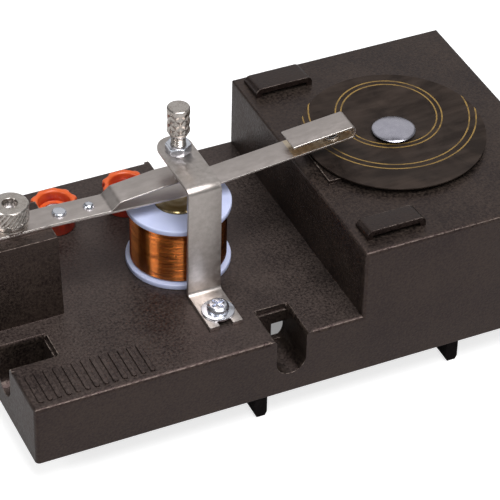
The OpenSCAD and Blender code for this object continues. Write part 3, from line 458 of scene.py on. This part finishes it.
def runLeads():
    for name, lead in leads.items():
        line = smoothRoute(lead["path"])
        clearSelection()
        bpy.ops.curve.primitive_nurbs_path_add()
        cord = bpy.context.object
        cord.name = name
        cord.data.splines.clear()
        spline = cord.data.splines.new("POLY")
        spline.points.add(len(line) - 1)
        for point, spot in zip(spline.points, line):
            point.co = (*spot, 1)
        cord.data.dimensions = "3D"
        cord.data.bevel_depth = leadThick / 2 * mm
        cord.data.bevel_resolution = 4
        cord.data.use_fill_caps = True
        paint(cord, lead["material"])
        attach(cord, "base", lead["slot"], lead["node"])
    print("leads run")


def mouldBase():  # moulded pieces keep their solids' forms; their material rounds the edges
    for node, name, material, slot in (("base_moulding", "baseShell", phenolic, "base_plastic"),
                                       ("tape_guides", "tapeHoods", shadedHoodPhenolic, "base_plastic"),
                                       ("feet", "rubberFeet", nearBlackFeet, "foot_black")):
        dressCopy(node, name, material, "base", slot, angle=40)
    print("base moulded")


# coil: bobbin, close wound wire and core, whose profile is radius and height
coil = {"centre": (-21.3, 0.0), "low": 27.9, "height": 20.0, "flange": 1.6, "radius": 13.1, "wire": 0.41,
        "pitch": 0.42, "sides": 8, "steps": 56,
        "core": [(0, 28.0), (6.6, 28.0), (6.6, 47.85), (6.52, 48.05), (6.2, 48.3), (0, 48.3)]}


def windCoil():
    dressCopy("coil_bobbin", "coilBobbin", bobbinNylon, "base", "bobbin_nylon", 0.3, 40, segments=3)
    low = coil["low"] + coil["flange"] + coil["wire"]
    turns = int((coil["height"] - 2 * coil["flange"] - 2 * coil["wire"]) / coil["pitch"])
    clearSelection()
    bpy.ops.mesh.primitive_circle_add(vertices=coil["sides"], radius=coil["wire"] / 2 * mm,
                                      rotation=(math.pi / 2, 0, 0))
    wire = bpy.context.object
    wire.name = "copperWinding"
    settle(wire)
    bpy.ops.object.mode_set(mode="EDIT")
    bpy.ops.mesh.select_all(action="SELECT")
    bpy.ops.transform.translate(value=(coil["radius"] * mm, 0, low * mm))
    bpy.ops.object.mode_set(mode="OBJECT")
    modify(wire, "SCREW", axis="Z", angle=2 * math.pi, screw_offset=coil["pitch"] * mm, iterations=turns,
           steps=coil["steps"], render_steps=coil["steps"], use_smooth_shade=True)
    wire.location = (coil["centre"][0] * mm, coil["centre"][1] * mm, 0)
    settle(wire)
    bpy.ops.object.mode_set(mode="EDIT")
    closeUp(0.0005)
    shade(wire, 60)
    paint(wire, copperWire)
    attach(wire, "base", "copper_wire", "winding_wire")
    pole = turnProfile("ironCore", coil["core"], coil["centre"], 72)
    shade(pole, 30)
    paint(pole, coreIron)
    attach(pole, "base", "core_iron", "iron_core")
    print("coil wound,", turns, "turns")


# bracket screw: head profile as radius and height over its seat, and the two arms of its cross slot
screw = {"centre": (-21.3, -26.7), "seat": 29.7, "shank": 1.5, "end": 16.0, "height": 2.0,
         "head": [(3.0, 0), (3.0, 1.1), (2.85, 1.55), (2.45, 1.88), (2.0, 2.0), (0, 2.0)],
         "turns": (20, 110), "arm": 4.0, "slot": 0.75, "deep": 0.9}


def cutScrew():
    cx, cy = screw["centre"]
    profile = [(0, screw["end"]), (screw["shank"], screw["end"]), (screw["shank"], screw["seat"])]
    profile += [(r, screw["seat"] + z) for r, z in screw["head"]]
    piece = turnProfile("bracketScrew", profile, screw["centre"], 64)
    top = screw["seat"] + screw["height"]
    for turn in screw["turns"]:
        clearSelection()
        bpy.ops.mesh.primitive_cube_add(size=mm, location=(cx * mm, cy * mm, top * mm),
                                        rotation=(0, 0, math.radians(turn)),
                                        scale=(screw["arm"], screw["slot"], 2 * screw["deep"]))
        cutAway(piece, bpy.context.object)
    roundEdges(piece, 0.07)
    shade(piece, 32)
    paint(piece, zincPlate)
    attach(piece, "base", "zinc_steel", "bracket_screw")


def bendBracket():
    cutScrew()
    dressCopy("contact_bracket", "contactBracket", bracketNickel, "base", "nickel_steel", 0.14)
    dressCopy("bracket_washer", "bracketWasher", zincPlate, "base", "zinc_steel", 0.15)
    print("bracket bent")


# strip and leaf: one sheet each from under the thumb nut to the end; X and Z of the middle lines
strip = {"flex": (-58.6, 53.0), "pole": (-21.3, 51.5), "strike": (24.0, 56.039), "end": (29.572, 56.5975),
         "root": -77.1, "fold": 3.3, "foldRadius": 0.9, "flap": 18.4, "thick": 0.6, "width": 8.0,
         "edge": 0.13, "bend": 0.6, "studAt": -69.1, "studHole": 4.4, "strikerHole": 4.45}
leaf = {"thick": 0.4, "jogStart": 16.5, "jogLength": 2.3, "jogHeight": 2.3, "tipLevel": 56.5, "flat": -26.5,
        "end": -18.7, "edge": 0.12}


def along(a, b):
    return (Vector(b) - Vector(a)).normalized()


def foldCorner(corner, a, b, r, steps=8):
    middle = corner - a * r + b * r
    return [middle + a * r * math.sin(t) - b * r * math.cos(t) for t in rows(0, math.pi / 2, steps)]


def easeCorner(before, corner, after, reach=0.8, steps=6):  # a soft bend of any angle
    a, b = corner + along(corner, before) * reach, corner + along(corner, after) * reach
    return [a * (1 - t) ** 2 + corner * 2 * t * (1 - t) + b * t ** 2 for t in rows(0, 1, steps)]


def drawSheet(name, line, thick, width):  # an edge across the base, extruded along the middle line
    spots = [Vector((p[0], -width / 2, p[1])) * mm for p in line]
    piece = startPoint(name, spots[0])
    bpy.ops.mesh.extrude_vertices_move(TRANSFORM_OT_translate={"value": (0, width * mm, 0)})
    bpy.ops.mesh.select_all(action="SELECT")
    for a, b in zip(spots, spots[1:]):
        bpy.ops.mesh.extrude_edges_move(TRANSFORM_OT_translate={"value": b - a})
    closeUp()
    modify(piece, "SOLIDIFY", thickness=thick * mm, offset=0, use_even_offset=True)
    return piece


def drill(piece, spot, tilt, diameter):  # a through hole
    clearSelection()
    bpy.ops.mesh.primitive_cylinder_add(vertices=32, radius=diameter / 2 * mm, depth=4 * mm,
                                        location=Vector(spot) * mm, rotation=(0, tilt, 0))
    cutAway(piece, bpy.context.object)


def hangSheet(sheet, *nodes):  # hides the solids that the sheet stands in for, and bakes its placement into its mesh
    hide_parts(*nodes)
    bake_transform(sheet)


def drawStrip():
    flex, pole, end = Vector(strip["flex"]), Vector(strip["pole"]), Vector(strip["end"])
    near, far = along(flex, pole), along(pole, strip["strike"])
    up = Vector((-far.y, far.x))
    top = end + up * strip["fold"]
    line = [Vector((strip["root"], flex.y)), flex - Vector((1, 0)), flex, flex + near, flex + near * 2,
            pole - near * 2, pole, end - far * strip["flap"]]
    line += foldCorner(end, far, up, strip["foldRadius"]) + foldCorner(top, up, -far, strip["foldRadius"])
    line += [top - far * strip["flap"]]
    sheet = drawSheet("steelStrip", line, strip["thick"], strip["width"])
    x, z = strip["strike"]
    drill(sheet, (x, 0, z), -math.atan2(far.y, far.x), strip["strikerHole"])
    drill(sheet, (strip["studAt"], 0, flex.y), 0, strip["studHole"])
    paint(sheet, nickelSheet, shearedEdgeHighlight, foldWarmReflection)
    # the rounded edge faces take the painted edge highlight
    roundEdges(sheet, strip["edge"], segments=3, angle=50, material=1)
    shade(sheet, 30)
    middle = end + up * strip["fold"] / 2
    for face in sheet.data.polygons:  # the two faces that look at each other inside the fold get the painted warm reflection
        away = Vector((face.center.x, face.center.z)) / mm - middle
        toward = -away.dot(up) * Vector((face.normal.x, face.normal.z)).dot(up)
        within = -strip["flap"] < away.dot(far) < 1 and 0.5 < toward < strip["fold"] / 2
        if within and face.material_index == 0:
            face.material_index = 2
    hangSheet(sheet, "strip_root", "vibrating_strip")
    print("strip drawn")


def drawLeaf():
    flex = Vector(strip["flex"])
    near = along(flex, strip["pole"])
    rise = Vector((-near.y, near.x))
    lift = (strip["thick"] + leaf["thick"]) / 2
    over = flex + rise * lift
    jog = flex + near * leaf["jogStart"] + rise * lift
    crest = jog + near * leaf["jogLength"] + rise * leaf["jogHeight"]
    level, tip = Vector((leaf["flat"], leaf["tipLevel"])), Vector((leaf["end"], leaf["tipLevel"]))
    line = [Vector((strip["root"], flex.y + lift)), over - Vector((1, 0)), over, over + near, over + near * 2]
    for corner in ((over, jog, crest), (jog, crest, level), (crest, level, tip)):
        line += easeCorner(*corner)
    sheet = drawSheet("contactLeaf", line + [tip], leaf["thick"], strip["width"])
    drill(sheet, (strip["studAt"], 0, flex.y + lift), 0, strip["studHole"])
    paint(sheet, nickelSheet, shearedEdgeHighlight)
    # the rounded edge faces take the painted edge highlight
    roundEdges(sheet, leaf["edge"], segments=3, angle=50, material=1)
    shade(sheet, 16)
    hangSheet(sheet, "leaf_root", "contact_leaf")
    print("leaf drawn")


# knurled pieces: profile as radius and height over the bottom, a straight side of so many rows between
grip = {"centre": (-21.3, 0.0), "radius": 3.1, "bottom": 69.2, "low": 71.1, "high": 77.1, "teeth": 7,
        "lead": 3.0, "depth": 0.22, "crossed": True, "side": (1.9, 8.0, 56),
        "foot": [(0, 0), (2.1, 0), (2.2, 0.1), (3.1, 1.8)],
        "crown": [(3.1, 8.1), (3.1, 8.9), (3.0, 9.15), (2.7, 9.35), (2.4, 9.4), (0, 9.4)]}
thumb = {"centre": (-69.1, 0.0), "radius": 5.0, "bottom": 54.5, "low": 56.5, "high": 60.7, "teeth": 24,
         "lead": -1.8, "depth": 0.35, "crossed": False, "side": (2.0, 6.2, 40),
         "foot": [(2.05, 0), (4.2, 0), (4.4, 0.2), (4.4, 0.95), (4.3, 1.1), (3.6, 1.1), (3.6, 1.6),
                  (4.7, 1.6), (5.0, 1.9)],
         "crown": [(4.95, 6.3), (4.7, 6.55), (4.5, 6.6), (2.2, 6.6), (2.1, 6.5), (2.05, 6.3), (2.05, 0)]}


def triangleWave(t):
    return 1 - abs(2 * (t % 1) - 1)


def cutKnurl(piece, knurl, slack=0.02, flank=1.6, fade=0.3):  # helical grooves, one way or crossed
    cx, cy = knurl["centre"]
    for vertex in piece.data.vertices:
        x, y, z = vertex.co.x / mm - cx, vertex.co.y / mm - cy, vertex.co.z / mm
        r = math.hypot(x, y)
        edge = min(z - knurl["low"], knurl["high"] - z)
        if edge <= slack or abs(r - knurl["radius"]) > slack:
            continue
        turn = math.atan2(y, x) / (2 * math.pi) * knurl["teeth"]
        climb = (z - knurl["low"]) / knurl["lead"]
        height = triangleWave(turn + climb)
        if knurl["crossed"]:
            height = min(height, triangleWave(turn - climb))
        drop = knurl["depth"] * (1 - min(1, flank * height)) * min(1, edge / fade)
        vertex.co.x = (cx + x * (r - drop) / r) * mm
        vertex.co.y = (cy + y * (r - drop) / r) * mm


def turnKnurled(name, knurl, steps):
    profile = knurl["foot"] + [(knurl["radius"], z) for z in rows(*knurl["side"])] + knurl["crown"]
    piece = turnProfile(name, [(r, knurl["bottom"] + z) for r, z in profile], knurl["centre"], steps)
    cutKnurl(piece, knurl)
    return piece


# contact screw's thread: crest from and to as shares of the pitch, and the core that it is cut on
thread = {"radius": 2.0, "root": 1.68, "pitch": 0.7, "crest": (0.42, 0.58), "steps": 32, "low": 58.8,
          "high": 69.3, "core": [(0, 58.9), (1.1, 58.9), (1.1, 58.8), (1.68, 58.8), (1.68, 69.2)]}


def cutThread(name, centre):
    low, pitch, steps = thread["low"], thread["pitch"], thread["steps"]
    turns = int((thread["high"] - low) / pitch)
    ridge = [(thread["root"], 0), *((thread["radius"], t) for t in thread["crest"]), (thread["root"], 1)]
    piece = startPoint(name, Vector((thread["root"], 0, low)) * mm)
    extrudeLine([Vector((r, 0, low + pitch * t)) * mm for r, t in ridge])
    bpy.ops.object.mode_set(mode="OBJECT")
    modify(piece, "SCREW", axis="Z", angle=2 * math.pi, screw_offset=pitch * mm, iterations=turns,
           steps=steps, render_steps=steps, use_merge_vertices=True, merge_threshold=1e-6)
    piece.location = (centre[0] * mm, centre[1] * mm, 0)
    settle(piece)
    return piece


# one flat and one domed rivet through leaf and strip: way from the bend, then profile as radius and height
rivetFoot = [(0, -0.75), (0.9, -0.6), (1.3, -0.3), (1.0, -0.3), (1.0, 0.7)]
rivets = {"slope": math.radians(-2.303),
          "flat": (3.0, [(2.0, 0.7), (2.0, 1.1), (1.85, 1.38), (1.55, 1.52), (0.8, 1.6), (0, 1.6)]),
          "dome": (11.4, [(1.6, 0.7), (1.56, 0.95), (1.35, 1.35), (0.95, 1.65), (0.45, 1.78), (0, 1.8)])}


def headRivets():
    pair = []
    x, z = strip["flex"]
    slope = rivets["slope"]
    for name in ("flat", "dome"):
        out, head = rivets[name]
        rivet = turnProfile("stripRivets", rivetFoot + head, (0, 0), 40)
        rivet.rotation_euler = (0, -slope, 0)
        rivet.location = Vector((x + out * math.cos(slope), 0, z + out * math.sin(slope))) * mm
        settle(rivet)
        pair.append(rivet)
    both = joinTo(*pair)
    both.name = "stripRivets"
    shade(both, 40)
    paint(both, zincPlate)
    attach(both, "arm", "zinc_steel", "strip_rivets")


# striker eyelet: radius of its bore, and how far up and over its inside gets the painted shade
eyelet = {"bore": 1.85, "above": 0.2, "facing": -0.3}


def shadeBore(piece):
    # faces inside the bore take the dark painted shade
    piece.data.materials.append(boreShade)
    x, z = strip["strike"]
    for face in piece.data.polygons:
        spot = face.center / mm
        inside = math.hypot(spot.x - x, spot.y) < eyelet["bore"] and spot.z < z + eyelet["above"]
        if inside and face.normal.z > eyelet["facing"]:
            face.material_index = 1


def turnPieces():
    piece = turnKnurled("contactScrew", grip, 176)
    core = turnProfile("contactScrewCore", thread["core"], grip["centre"], 32)
    joinTo(piece, core, cutThread("contactScrewThread", grip["centre"]))
    shade(piece, 28)
    paint(piece, nickelTurned)
    attach(piece, "contact_screw", "nickel_steel", "contact_screw")
    nut = turnKnurled("thumbNut", thumb, 208)
    shade(nut, 28)
    paint(nut, nickelTurned)
    attach(nut, "thumb_nut", "nickel_steel", "thumb_nut")
    dressCopy("lock_nut", "lockNut", zincPlate, "lock_nut", "zinc_steel", 0.14)
    dressCopy("clamp_washer", "clampWasher", nickelTurned, "clamp_washer", "nickel_steel", 0.15)
    shadeBore(dressCopy("striker", "strikerEyelet", zincPlate, "arm", "zinc_steel", 0.14))
    dressCopy("clamp_stud", "clampStud", zincPlate, "base", "zinc_steel", 0.3)
    headRivets()
    print("turned pieces cut")


# red terminal caps: profile as radius and height over the deck, and round lobes about the rim
cap = {"places": {"a": -47.1, "b": -25.8}, "row": 26.6, "deck": 28.05, "body": 5.7, "rim": 6.7, "lobes": 10,
       "lobeAt": 5.437, "lobe": 1.263, "web": 5.86,
       "profile": [(4.7, 0), (5.6, 0), (5.7, 0.15), (5.7, 4.9), (5.85, 5.05), (6.3, 5.2), (6.6, 5.5),
                   (6.7, 6.0), (6.7, 7.1), (6.6, 7.55), (6.3, 7.85), (5.9, 8.0), (5.2, 8.0), (4.75, 7.85),
                   (4.5, 7.45), (4.5, 4.7), (4.3, 4.6), (3.05, 4.6), (3.05, 0.95), (4.7, 0.95), (4.7, 0)]}


def lobeReach(turn):
    away = (turn + math.pi / cap["lobes"]) % (2 * math.pi / cap["lobes"]) - math.pi / cap["lobes"]
    inside = cap["lobe"] ** 2 - (cap["lobeAt"] * math.sin(away)) ** 2
    return max(cap["web"], cap["lobeAt"] * math.cos(away) + math.sqrt(max(0, inside)))


def mouldCaps(slack=0.01):
    cy, body = cap["row"], cap["body"]
    profile = [(r, cap["deck"] + z) for r, z in cap["profile"]]
    for letter, cx in cap["places"].items():
        piece = turnProfile("terminalCap" + letter.upper(), profile, (cx, cy), 180)
        for vertex in piece.data.vertices:
            x, y = vertex.co.x / mm - cx, vertex.co.y / mm - cy
            r = math.hypot(x, y)
            if r > body + slack:
                share = (lobeReach(math.atan2(y, x)) - body) / (cap["rim"] - body)
                grow = (body + (r - body) * share) / r
                vertex.co.x = (cx + x * grow) * mm
                vertex.co.y = (cy + y * grow) * mm
        shade(piece, 50)
        paint(piece, redCap)
        attach(piece, "cap_" + letter, "red_plastic", "terminal_cap_" + letter)
    dressCopy("terminal_posts", "plugSockets", zincPlate, "base", "zinc_steel", 0.25, 40)
    print("terminals moulded")


# carbon disc: thin, tilted and a little wavy, as paper lies
disc = {"centre": (43.6, 0.0), "level": 50.9, "thick": 0.35, "hole": 1.8, "flat": 10.2, "rim": 25.7,
        "rise": 0.8, "still": 6, "tilt": 0.9, "wave": 0.12, "waves": 3, "shift": 0.7}


def discLevel(r):
    return disc["level"] + disc["rise"] * max(0, r - disc["flat"]) / (disc["rim"] - disc["flat"])


def cutDisc():
    cx, cy = disc["centre"]
    spread = rows(disc["hole"], disc["flat"], 5) + rows(disc["flat"], disc["rim"], 16)[1:]
    profile = [(r, discLevel(r)) for r in spread]
    profile += [(r, discLevel(r) + disc["thick"]) for r in reversed(spread)]
    paper = turnProfile("carbonDisc", profile + profile[:1], disc["centre"], 96)
    for vertex in paper.data.vertices:
        x, y = vertex.co.x / mm - cx, vertex.co.y / mm - cy
        share = max(0, math.hypot(x, y) - disc["still"]) / (disc["rim"] - disc["still"])
        turn = math.atan2(y, x)
        wave = disc["wave"] * math.sin(disc["waves"] * turn + disc["shift"]) * share
        vertex.co.z += mm * share * (disc["tilt"] * math.sin(turn) + wave)
    shade(paper, 40)
    paint(paper, discPaper)
    attach(paper, "disc", "carbon_paper", "carbon_disc")
    dressCopy("disc_pin", "discPin", pinSatin, "base", "pin_steel", 0.2, 40)
    print("disc cut")


def dressSolids():  # the solids whose shape is right keep it
    for material, names in ((copperWire, ["winding_pack"]),
                            (zincPlate, ["core_screw", "core_washer", "bracket_nut", "stud_nut", "pin_clip"]),
                            (contactSilver, ["contact_tip", "leaf_contact"]),
                            (tagBrass, ["terminal_nuts", "terminal_tags"])):
        for name in names:
            for slot in cadNodes[name].material_slots:
                slot.material = material
    print("solids dressed")


# studio in metres: white table, its glow dimmed under the base as a painted shadow, a broad light overhead,
# two fills and two for glints
studio = {"floor": 3.0, "paint": "c4c4c4", "glow": 0.75, "mirrored": 0.04, "world": 0.12,
          "shade": {"X": 0.07, "Y": 0.028}, "inner": 0.95, "shadowGlow": 0.36, "aim": (0, 0, 0.03)}
lamps = {"topSoftbox": ((0.05, -0.4, 1.15), 0.8, 13.5), "backPanel": ((0.45, 0.95, 0.85), 1.5, 3.0),
         "leftCard": ((-0.8, 0.85, 0.45), 0.6, 0.3), "leftGlint": ((-1.0, -0.15, 0.7), 0.35, 3.0),
         "frontGlint": ((0.02, -1.0, 0.9), 0.3, 1.8)}  # place, size and power


def floorPaint():  # matt paint that the camera sees as white; a mirror sees little of it
    material, tree, shader, where = startMaterial("paleFloorPaint", Base_Color=hexColour(studio["paint"]),
                                                  Roughness=0.9, Emission_Color=(1, 1, 1, 1))
    seen = addNode(tree, "LightPath").outputs
    bright = calculate(tree, "MAXIMUM", seen["Is Camera Ray"], seen["Is Transmission Ray"])
    reach = split(tree, addNode(tree, "VectorMath", {0: where}, operation="ABSOLUTE").outputs["Vector"])
    # painted shadow: the glow falls over the base's footprint
    sides = [ranged(tree, reach[axis], edge * studio["inner"], edge)
             for axis, edge in studio["shade"].items()]
    level = calculate(tree, "MAXIMUM", calculate(tree, "MAXIMUM", *sides), studio["shadowGlow"])
    glow = multiply(tree, bright, level, studio["glow"])
    shine = calculate(tree, "MULTIPLY_ADD", seen["Is Glossy Ray"], studio["mirrored"], glow)
    connect(tree, shader, Emission_Strength=shine)
    return material


def lightStudio():
    clearSelection()
    bpy.ops.mesh.primitive_plane_add(size=studio["floor"])
    floor = bpy.context.object
    floor.name = "paleFloor"
    paint(floor, floorPaint())
    for name, (spot, size, power) in lamps.items():
        bpy.ops.object.light_add(type="AREA", location=spot)
        lamp = bpy.context.object
        lamp.name = name
        lamp.data.size = size
        lamp.data.energy = power
        lamp.rotation_euler = (Vector(studio["aim"]) - Vector(spot)).to_track_quat("-Z", "Y").to_euler()
    world = bpy.data.worlds.new("studioAir")
    world.use_nodes = True
    air = world.node_tree.nodes["Background"]
    air.inputs["Color"].default_value = (1, 1, 1, 1)
    air.inputs["Strength"].default_value = studio["world"]
    bpy.context.scene.world = world
    bpy.context.scene.view_settings.view_transform = "Standard"
    print("studio lit")


setCamera()
runLeads()
mouldBase()
windCoil()
bendBracket()
drawStrip()
drawLeaf()
turnPieces()
mouldCaps()
cutDisc()
dressSolids()
lightStudio()
clearSelection()
